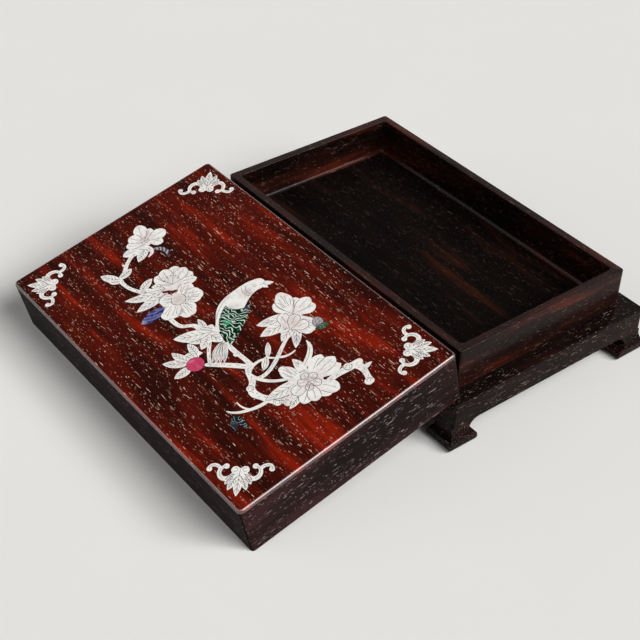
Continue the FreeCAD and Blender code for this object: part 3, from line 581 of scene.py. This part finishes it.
blossomRound = (
    ("disc", -30.4, -10.6, 4.6),
    ("petal", 3, -31.0, -10.5, -22.6, -25.6, 13.5),
    ("petal", 3, -31.0, -9.5, -24.0, 3.0, 12.0),
    ("petal", 4, -31.0, -10.5, -13.6, -12.6, 12.5),
    ("petal", 3, -31.0, -9.5, -36.6, 2.2, 10.5),
    ("petal", 3, -31.0, -10.5, -38.0, -19.6, 10.0),
)
blossomFan = (
    ("petal", 2, -44.0, -6.0, -50.4, 8.4, 8.4),
    ("petal", 2, -44.0, -6.0, -37.4, 8.2, 6.2),
    ("petal", 2, -44.0, -6.0, -59.2, -3.4, 8.4),
    ("petal", 2, -44.0, -6.0, -43.4, 9.2, 8.0),
    ("petal", 2, -44.0, -6.0, -56.4, 4.2, 8.4),
    ("petal", 2, -44.0, -7.0, -57.6, -10.2, 7.4),
    ("disc", -45.0, -5.0, 6.5),
)
blossomHigh = (
    ("petal", 2, 38.6, 21.4, 31.4, 31.6, 7.4),
    ("petal", 2, 38.0, 22.0, 24.4, 25.0, 7.6),
    ("petal", 2, 39.4, 21.8, 41.6, 32.8, 7.8),
    ("petal", 3, 30.0, 30.0, 10.4, 34.4, 10.5),
    ("petal", 4, 31.0, 29.0, 49.4, 30.4, 12.5),
    ("petal", 2, 30.0, 30.0, 26.4, 45.6, 8.4),
    ("petal", 2, 30.5, 30.0, 33.6, 44.6, 8.0),
    ("petal", 2, 30.0, 29.0, 14.6, 26.8, 6.6),
    ("petal", 2, 31.0, 30.0, 20.0, 39.4, 8.0),
    ("disc", 33.0, 27.0, 6.2),
)
blossomLarge = (
    ("petal", 2, 77.4, 4.4, 75.0, 11.6, 5.2),
    ("petal", 2, 77.6, 5.0, 83.4, 9.6, 5.4),
    ("petal", 2, 77.4, 5.0, 70.4, 6.2, 5.4),
    ("petal", 2, 77.6, 4.8, 83.0, 1.4, 5.0),
    ("petal", 2, 77.4, 5.0, 74.0, -0.6, 5.4),
    ("petal", 2, 77.0, 4.0, 79.0, -7.4, 8.0),
    ("petal", 2, 77.0, 7.0, 73.4, 27.2, 8.6),
    ("petal", 2, 79.0, 6.0, 94.2, 14.2, 9.0),
    ("petal", 3, 75.0, 3.0, 57.6, -0.6, 8.2),
    ("petal", 2, 79.0, 5.0, 91.6, -0.8, 7.8),
    ("petal", 2, 76.0, 6.0, 66.4, 22.6, 8.6),
    ("petal", 2, 77.0, 7.0, 80.2, 26.4, 7.6),
    ("petal", 2, 79.0, 6.0, 94.0, 7.8, 7.6),
    ("petal", 2, 79.0, 4.0, 88.2, -7.2, 7.8),
    ("disc", 77.0, 5.0, 8.4),
)
blossomSmall = (
    ("petal", 2, -89.0, 3.0, -99.6, -2.6, 8.0),
    ("petal", 2, -89.0, 4.0, -88.0, 18.6, 8.8),
    ("petal", 2, -89.0, 3.0, -105.2, 8.2, 8.0),
    ("petal", 2, -89.0, 4.0, -80.0, 11.6, 6.4),
    ("petal", 2, -89.0, 3.0, -96.8, 12.4, 6.6),
    ("petal", 2, -87.0, 2.0, -94.0, -8.2, 6.6),
    ("petal", 2, -86.0, 0.0, -87.8, -14.6, 5.8),
    ("disc", -89.5, 2.5, 5.2),
)
whiteLeaves = (
    ("leaf", 34.0, 28.0, 30.2, 6.0, 8.4, -0.4),
    ("leaf", 29.0, 30.0, 21.6, 9.6, 7.6, 0.8),
    ("leaf", 34.0, 29.0, 42.0, 12.4, 7.6, 0.6),
    ("leaf", 34.0, 28.0, 52.2, 15.0, 6.0, 1.0),
    ("leaf", -40.0, -12.0, -40.4, -34.6, 6.8, -0.4),
    ("leaf", -44.0, -12.0, -53.8, -34.8, 6.4, 1.6),
    ("leaf", -36.0, -15.0, -56.4, -24.6, 7.6, -0.6),
    ("leaf", -38.0, -16.0, -50.6, -26.8, 7.0, 0.8),
    ("leaf", -41.0, -8.0, -51.6, -16.4, 7.2, -0.8),
    ("leaf", -52.4, -24.0, -57.6, -12.0, 5.2, 0.6),
    ("band", (-86.0, -2.0, 1.6), (-82.6, 1.2, 1.7), (-79.6, 1.6, 1.6), (-75.6, -2.6, 0.5)),
    ("leaf", -86.4, 2.6, -76.4, -10.0, 6.6, 0.4),
    ("leaf", 6.0, -11.0, -5.6, -31.2, 8.6, 0.8),
    ("leaf", -2.6, -15.0, 17.4, -11.0, 8.2, -0.6),
    ("leaf", 5.0, -15.0, -8.4, -11.8, 4.4, -0.8),
    ("leaf", 5.0, -12.0, 13.0, -24.0, 6.6, 0.4),
    ("leaf", 10.0, -14.0, -1.0, -27.4, 7.0, 0.6),
    ("leaf", 8.0, -16.0, 1.4, -8.2, 7.0, 0.3),
    ("leaf", 17.0, -33.0, 2.6, -38.0, 5.2, 0.9),
    ("leaf", 17.0, -29.0, 3.6, -27.4, 5.2, -0.6),
    ("leaf", 17.2, -33.8, 5.6, -46.6, 5.8, 0.6),
    ("leaf", 10.8, -36.2, 15.6, -24.8, 5.0, 0.7),
    ("leaf", 19.4, -35.0, 20.0, -47.8, 5.8, 0.5),
    ("band", (52.4, 22.8, 0.35), (57.4, 21.4, 1.3), (62.6, 16.6, 1.7), (66.4, 10.4, 1.8), (68.4, 3.0, 1.5)),
    ("leaf", 75.0, 4.0, 57.4, 8.4, 6.0, -1.8),
    ("leaf", 73.0, 4.0, 70.6, -20.4, 8.6, 0.8),
    ("leaf", 79.0, 0.0, 74.4, -16.4, 5.6, 0.8),
    ("leaf", 78.0, -2.0, 85.2, -14.6, 4.6, 1.2),
    ("feather", 36.8, 6.4, 46.4, -1.0, 3.4, 0.4),
    ("feather", 44.8, -0.6, 52.2, -8.0, 4.2, 0.3),
    ("leaf", -71.0, -26.0, -83.6, -33.6, 5.8, 0.7),
    ("leaf", -72.6, -27.0, -74.6, -16.2, 5.2, -0.3),
    ("feather", -70.0, -27.0, -76.6, -32.4, 4.6, 0.5),
)
branches = (
    ("knot", 57.6, -21.4, 2.2),
    ("knot", 76.6, -16.4, 2.4),
    ("knot", 81.0, -12.4, 2.4),
    ("knot", 101.0, 28.8, 2.2),
    ("knot", 84.8, 27.0, 2.4),
    ("bark", (55.4, -8.8, 1.2), (55.0, -13.4, 1.4), (53.6, -2.8, 1.2), (50.4, 3.2, 1.2), (46.4, 9.4, 1.1)),
    ("bark", (43.6, -10.8, 1.9), (46.0, -14.6, 1.5), (50.0, -16.0, 1.6), (54.6, -17.6, 1.9),
     (58.0, -20.8, 2.1), (62.6, -22.0, 2.4), (67.4, -20.4, 2.0), (72.6, -18.0, 2.4),
     (76.8, -15.0, 1.9), (80.0, -11.0, 2.0)),
    ("bark", (85.0, 14.0, 1.9), (85.0, 21.0, 1.9), (85.8, 28.0, 2.4), (86.2, 34.0, 2.1)),
    ("bark", (86.2, 30.0, 2.4), (91.0, 32.2, 2.3), (96.6, 31.0, 1.7), (101.4, 29.6, 2.2)),
    ("bark", (25.0, -28.6, 1.2), (30.4, -23.4, 1.6), (37.0, -17.8, 1.7), (43.6, -12.6, 1.7)),
    ("bark", (12.0, -17.4, 1.2), (19.0, -22.8, 1.1), (26.0, -27.0, 1.0)),
    ("bark", (20.6, -10.6, 1.4), (30.0, -11.0, 1.5), (36.6, -10.6, 1.4), (42.4, -10.7, 1.6)),
    ("bark", (-24.0, -22.6, 1.4), (-14.6, -23.0, 1.4), (-10.6, -21.6, 1.3), (-7.4, -17.8, 1.3),
     (0.0, -16.6, 1.6)),
    ("bark", (-84.6, -7.0, 1.1), (-81.4, -14.4, 1.2), (-77.4, -19.0, 1.3)),
    ("bark", (-70.6, -26.8, 1.5), (-65.6, -27.2, 1.2), (-58.6, -25.8, 1.2), (-52.0, -22.6, 1.4)),
)
# lines listed one by one: the bird's eye, beak, cheek and neck
birdLines = (
    ((-6.6, 28.2), (-6.0, 29.1), (-5.0, 29.2), (-4.3, 28.5), (-4.6, 27.5), (-5.6, 27.2), (-6.4, 27.6),
     (-6.6, 28.2)),
    ((-5.7, 28.4), (-5.3, 28.0)),
    ((-3.4, 33.6), (-1.8, 33.2), (-0.4, 33.9)),
    ((-3.9, 30.9), (-3.0, 32.0), (-2.9, 33.8)),
    ((-8.6, 24.0), (-7.2, 22.6), (-5.4, 22.0), (-3.4, 22.2), (-1.6, 23.4)),
    ((-9.6, 21.6), (-7.8, 20.4), (-5.6, 19.9), (-3.0, 20.2), (-0.6, 21.4)),
    ((-6.8, 21.8), (-6.4, 20.6)),
    ((-4.6, 21.8), (-4.2, 20.6)),
    ((-2.6, 22.2), (-1.8, 21.2)),
    ((-7.6, 5.6), (-6.0, 3.0), (-3.4, -0.6), (0.0, -4.0)),
    ((-8.6, 9.0), (-7.6, 5.6)),
)
# rings of stamens: middle, turn of the first, count, radius of the circle they stand on, radius of each
stamens = (
    {"at": (-30.4, -10.6), "first": -20, "step": 30, "count": 9, "reach": 6.0, "size": 0.35},
    {"at": (77.6, 5.4), "first": -60, "step": 52, "count": 6, "reach": 3.0, "size": 0.75},
    {"at": (-90.0, 3.4), "first": 0, "step": 72, "count": 5, "reach": 2.4, "size": 0.6},
    {"at": (-47.0, -4.6), "first": 80, "step": 35, "count": 5, "reach": 4.4, "size": 0.45},
)
# one corner ornament: first value along one edge from the corner, second along the other
ornament = {
    "size": 26.0, "drawing": 25.5, "margin": 10.0,
    "middle": (("leaf", 12.5, 12.5, 0.0, 0.0, 5.0, 0.0),),
    "half": (
        ("leaf", 9.8, 8.6, 6.2, -0.8, 3.6, 0.3),
        ("leaf", 11.6, 8.0, 10.2, 0.4, 3.2, 0.3),
        ("scroll", (12.4, 8.0, 1.3), (12.0, 4.4, 1.4), (14.0, 1.9, 1.35), (17.2, 2.0, 1.2), (19.6, 4.4, 1.0),
         (19.4, 7.4, 0.9), (18.6, 8.4, 0.8)),
        ("scroll", (18.6, 3.2, 0.8), (21.6, 5.0, 1.0), (24.4, 3.8, 1.0), (25.0, 1.2, 0.9), (24.2, 0.2, 0.8)),
        ("knot", 13.6, 10.0, 2.1),
    ),
}
# engraved lines: half a vein's width, half an outline's, how far they stand out, and points to an arc
engraving = {
    "half": 0.12, "edge": 0.17, "proud": 0.03, "steps": 10,
    "color": (0.09, 0.07, 0.065), "roughness": 0.6, "gloss": 0.01,
}
# veins, as shares of the shape: start and length of a middle line, side veins of a leaf, lines on a feather,
# a petal's veins by turns long and short, ticks on bark by place and side, and the ring on a knot
veinShape = {
    "leaf": (0.05, 0.85), "sides": (0.22, 0.38, 0.54, 0.68), "rise": 0.16, "reach": 0.72,
    "feather": (0.1, 0.8), "vanes": (-0.35, 0.35),
    "petalTips": (0.72, 0.62), "petalFeet": (0.55, 0.42), "petalBody": 0.8, "petalBows": (-0.05, 0.05),
    "ticks": ((0.1, 0.4), (0.55, -0.35)), "tickLength": 0.3, "tickEnd": 0.4, "tickBow": 0.12, "knot": 0.55,
}


# points of an arc from start to end that bulges to through; end itself is left to the next arc
def arcPoints(start, through, end, steps):
    a, b, c = Vector(start), Vector(through), Vector(end)
    middle = (a + c) / 2
    bow = b - middle
    return [a.lerp(c, i / steps) + bow * 4 * (i / steps) * (1 - i / steps) for i in range(steps)]


def leafSpot(values, along, across):
    x0, y0, x1, y1, width, bend = values
    start, end = Vector((x0, y0)), Vector((x1, y1))
    side = Vector((y0 - y1, x1 - x0)).normalized()
    return start.lerp(end, along) + side * (bend + across * width / 2) * 4 * along * (1 - along)


def petalSpot(values, angle, reach):
    x0, y0, x1, y1, width = values[1:]
    foot, way = Vector((x0, y0)), Vector((x1 - x0, y1 - y0))
    side = Vector((-way.y, way.x)).normalized()
    long = way * (1 - petalShape["middle"]) * reach * math.cos(angle)
    return foot + way * petalShape["middle"] + long + side * (width / 2 * reach * math.sin(angle))


def bandSides(stations):
    centres = [Vector(station[:2]) for station in stations]
    last = len(centres) - 1
    left, right = [], []
    for i, station in enumerate(stations):
        way = (centres[min(i + 1, last)] - centres[max(i - 1, 0)]).normalized()
        side = Vector((-way.y, way.x)) * station[2]
        left.append(centres[i] + side)
        right.append(centres[i] - side)
    return left, right


def circle(x, y, radius, steps=14):
    turns = [2 * math.pi * i / steps for i in range(steps)]
    return [Vector((x + radius * math.cos(turn), y + radius * math.sin(turn))) for turn in turns]


# closed outline of any shape
def outlineOf(kind, values):
    steps = engraving["steps"]
    if kind in ("leaf", "feather"):
        up = [leafSpot(values, i / steps, 1) for i in range(steps)]
        down = [leafSpot(values, 1 - i / steps, -1) for i in range(steps)]
        return up + down
    if kind == "petal":
        lobes = values[0]
        spread = math.radians(petalShape["spread"])
        turns = [-spread + 2 * spread * k / lobes for k in range(lobes + 1)]
        ring = []
        for a, b in zip(turns, turns[1:]):
            notch, crest = petalShape["notch"], petalShape["crest"]
            ring += arcPoints(petalSpot(values, a, notch), petalSpot(values, (a + b) / 2, crest),
                              petalSpot(values, b, notch), steps)
        return ring + [petalSpot(values, spread, petalShape["notch"]), Vector(values[1:3])]
    if kind == "wing":
        corners, bows = values[::2], values[1::2]
        ends = corners[1:] + corners[:1]
        return [point for arc in zip(corners, bows, ends) for point in arcPoints(*arc, steps)]
    if kind in ("disc", "knot"):
        return circle(*values)
    left, right = bandSides(values)
    return left + right[::-1]


def isInside(point, ring):
    found = False
    for a, b in zip(ring, ring[1:] + ring[:1]):
        if (a.y > point.y) != (b.y > point.y):
            if point.x < a.x + (b.x - a.x) * (point.y - a.y) / (b.y - a.y):
                found = not found
    return found


# lines inside one shape: veins of a leaf or petal, ticks on bark, the ring of a knot
def veinsOf(kind, values):
    if kind == "leaf":
        start, length = veinShape["leaf"]
        rise, reach = veinShape["rise"], veinShape["reach"]
        lines = [[leafSpot(values, start + length * i / 8, 0) for i in range(9)]]
        for share in veinShape["sides"]:
            for side in (-1, 1):
                lines.append([leafSpot(values, share + rise * i / 3, side * reach * i / 3) for i in range(4)])
        return lines
    if kind == "feather":
        start, length = veinShape["feather"]
        return [[leafSpot(values, start + length * i / 6, across) for i in range(7)]
                for across in veinShape["vanes"]]
    if kind == "petal":
        lobes = values[0]
        lines = []
        picks = range(2 * lobes - 1) if lobes > 2 else (1,)  # a petal of two lobes has its middle vein alone
        for k in picks:
            odd = k % 2
            angle = math.radians(petalShape["spread"]) * ((k + 1) / lobes - 1)
            tip = petalSpot(values, angle, veinShape["petalTips"][odd])
            body = petalSpot(values, angle, veinShape["petalBody"])
            foot = Vector(values[1:3]).lerp(body, veinShape["petalFeet"][odd])
            bow = (tip - foot).orthogonal() * veinShape["petalBows"][odd]
            lines.append([foot.lerp(tip, i / 5) + bow * math.sin(math.pi * i / 5) for i in range(6)])
        return lines
    if kind == "bark":
        lines = []
        for i, (a, b) in enumerate(zip(values, values[1:])):
            start, end = Vector(a[:2]), Vector(b[:2])
            side = (end - start).orthogonal().normalized() * a[2]
            for share, away in veinShape["ticks"]:
                low = start.lerp(end, share) + side * away
                high = start.lerp(end, share + veinShape["tickLength"]) + side * away * veinShape["tickEnd"]
                lines.append([low, (low + high) / 2 + side * veinShape["tickBow"], high])
        return lines
    if kind == "knot":
        ring = circle(values[0], values[1], values[2] * veinShape["knot"], 9)
        return [ring[:8]]
    if kind == "band":
        return [[Vector(station[:2]) for station in values[1:-1]]]
    if kind == "scroll":
        return [[Vector(station[:2]) for station in values[1:]]]
    return []


# splits a line where it leaves what may be seen, and keeps the runs of two points or more
def visibleRuns(points, seen):
    runs, run = [], []
    for point in points:
        if seen(point):
            run.append(point)
            continue
        runs.append(run)
        run = []
    return [run for run in runs + [run] if len(run) > 1]


def engravedLines(shapes):
    rings = [outlineOf(kind, values) for kind, *values in shapes]
    boxes = [(min(point.x for point in ring), max(point.x for point in ring),
              min(point.y for point in ring), max(point.y for point in ring)) for ring in rings]

    def covered(point, picks):
        for i in picks:
            x0, x1, y0, y1 = boxes[i]
            if x0 < point.x < x1 and y0 < point.y < y1 and isInside(point, rings[i]):
                return True
        return False

    lines = []
    for i, (kind, *values) in enumerate(shapes):
        front, back = range(i), range(i + 1, len(shapes))
        edge = rings[i] + rings[i][:1]
        runs = visibleRuns(edge, lambda point: covered(point, back) and not covered(point, front))
        lines += [(run, engraving["edge"]) for run in runs]
        for vein in veinsOf(kind, values):
            runs = visibleRuns(vein, lambda point: not covered(point, front))
            lines += [(run, engraving["half"]) for run in runs]
    return lines


def sprayLines():
    scale = (lidSize[0] / mm - 2 * spray["margin"]) / spray["length"]
    shapes = bird + colouredLeaves + blossomRound + blossomFan + blossomHigh + blossomLarge + blossomSmall
    lines = engravedLines(shapes + whiteLeaves + branches)
    lines += [([Vector(point) for point in line], engraving["half"]) for line in birdLines]
    for ring in stamens:
        for k in range(ring["count"]):
            turn = math.radians(ring["first"] + ring["step"] * k)
            x = ring["at"][0] + ring["reach"] * math.cos(turn)
            y = ring["at"][1] + ring["reach"] * math.sin(turn)
            loop = circle(x, y, ring["size"], 8)
            lines.append((loop + loop[:1], engraving["half"]))
    middle = Vector((spray["middle"], 0))
    return [([point * scale + middle for point in points], half) for points, half in lines]


def ornamentLines(sx, sy):
    scale = ornament["size"] / ornament["drawing"]
    lines = engravedLines(ornament["middle"]) + engravedLines(ornament["half"])
    lines += [([point.yx for point in points], half) for points, half in engravedLines(ornament["half"])]
    corner = Vector((lidSize[0] / 2 / mm - ornament["margin"], lidSize[1] / 2 / mm - ornament["margin"] / 2))
    placed = []
    for points, half in lines:
        placed.append(([Vector((sx * (corner.x - point.x * scale), sy * (corner.y - point.y * scale)))
                        for point in points], half))
    return placed


# round lines drawn as one curve, then pressed flat on the shell and laid on the lid
def addEngraving(name, lines, material):
    data = bpy.data.curves.new(name + "Curve", "CURVE")
    data.dimensions = "3D"
    data.bevel_depth = engraving["half"] * mm
    data.bevel_resolution = 0
    for points, half in lines:
        line = data.splines.new("POLY")
        line.points.add(len(points) - 1)
        for spot, point in zip(line.points, points):
            spot.co = (point.x * mm, point.y * mm, 0.0, 1.0)
            spot.radius = half / engraving["half"]
    drawn = bpy.data.objects.new(name + "Curve", data)
    mesh = bpy.data.meshes.new_from_object(drawn)
    bpy.data.objects.remove(drawn)
    pressed = Matrix.Diagonal((1, 1, engraving["proud"] / engraving["edge"], 1))
    mesh.transform(lidPlace @ Matrix.Translation((0, 0, shellTop)) @ pressed)
    mesh.materials.clear()
    mesh.materials.append(material)
    piece = bpy.data.objects.new(name, mesh)
    bpy.context.scene.collection.objects.link(piece)
    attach(piece, "lid")


def makeInk():
    material, _, shader, _ = newMaterial("engravedLine")
    shader.inputs["Base Color"].default_value = (*engraving["color"], 1.0)
    shader.inputs["Roughness"].default_value = engraving["roughness"]
    shader.inputs["Specular IOR Level"].default_value = engraving["gloss"]
    return material


engravedMaterial = makeInk()
addEngraving("engravedSpray", sprayLines(), engravedMaterial)
for place, sx, sy in (("FrontLeft", -1, -1), ("FrontRight", 1, -1), ("BackRight", 1, 1), ("BackLeft", -1, 1)):
    addEngraving("engravedCorner" + place, ornamentLines(sx, sy), engravedMaterial)
print("shell engraved")


# camera at the photo's angle, from a fit to the corners of the stand, the tray and the lid
camera = {
    "fromStand": (0.5221, -0.5027, 0.5488), "turn": (51.583, -1.677, 52.189), "lens": 76.99, "sensor": 36.0,
}


def addCamera():
    data = bpy.data.cameras.new("photoCamera")
    data.lens = camera["lens"]
    data.sensor_width = camera["sensor"]
    data.clip_start = 0.01
    data.clip_end = 100.0
    eye = bpy.data.objects.new("photoCamera", data)
    eye.location = standMiddle + Vector(camera["fromStand"])
    eye.rotation_euler = [math.radians(angle) for angle in camera["turn"]]
    bpy.context.scene.collection.objects.link(eye)
    bpy.context.scene.camera = eye


# plain pale floor
floor = {
    "half": 20.0, "color": (0.74, 0.73, 0.71), "roughness": 0.85, "gloss": 0.2, "mottle": 9.0, "shade": 0.97,
}


def addFloor():
    mesh = bmesh.new()
    bmesh.ops.create_grid(mesh, x_segments=1, y_segments=1, size=floor["half"])
    data = bpy.data.meshes.new("floor")
    mesh.to_mesh(data)
    mesh.free()
    plane = bpy.data.objects.new("floor", data)
    bpy.context.scene.collection.objects.link(plane)
    material, tree, shader, coords = newMaterial("paleFloor")
    tint = noise(tree, coords, scale=floor["mottle"], detail=3.0)
    tone = [value * floor["shade"] for value in floor["color"]]
    link(tree, mixColor(tree, tint, floor["color"], tone), shader.inputs["Base Color"])
    shader.inputs["Roughness"].default_value = floor["roughness"]
    shader.inputs["Specular IOR Level"].default_value = floor["gloss"]
    data.materials.append(material)


# soft lamps: from is the way the light comes from, angle how soft it is
# the lid's rounded edge mirrors edgeLamp to the camera, and the cove of the tray's left wall mirrors wallLamp
lamps = {
    "edgeLamp": {"from": (0.72, 0.19, 0.67), "strength": 2.9, "angle": 36.0},
    "wallLamp": {"from": (0.62, 0.49, 0.61), "strength": 1.0, "angle": 20.0},
    "frontLamp": {"from": (0.38, -0.49, 0.76), "strength": 0.5, "angle": 20.0},
    "leftLamp": {"from": (-0.35, -0.8, 0.5), "strength": 0.6, "angle": 50.0},
}
# light is how much of the world falls on the object, seen how bright it is behind the object and in its gloss
world = {"color": (0.97, 0.97, 0.95), "light": 0.015, "seen": 0.78}


def addLight():
    for name, lamp in lamps.items():
        data = bpy.data.lights.new(name, "SUN")
        data.energy = lamp["strength"]
        data.angle = math.radians(lamp["angle"])
        light = bpy.data.objects.new(name, data)
        light.rotation_euler = Vector(lamp["from"]).to_track_quat("Z", "Y").to_euler()
        bpy.context.scene.collection.objects.link(light)
    sky = bpy.data.worlds.new("studio")
    sky.use_nodes = True
    background = sky.node_tree.nodes["Background"]
    background.inputs[0].default_value = (*world["color"], 1.0)
    tree = sky.node_tree
    rays = addNode(tree, "ShaderNodeLightPath").outputs
    seen = mathNode(tree, "MAXIMUM", rays["Is Glossy Ray"], rays["Is Transmission Ray"])
    seen = mathNode(tree, "MAXIMUM", seen, rays["Is Camera Ray"])
    strength = mathNode(tree, "MULTIPLY_ADD", seen, world["seen"] - world["light"], world["light"])
    link(tree, strength, background.inputs[1])
    bpy.context.scene.world = sky


addCamera()
addFloor()
addLight()
bpy.context.scene.view_settings.view_transform = "Standard"
print("camera, floor and light placed")
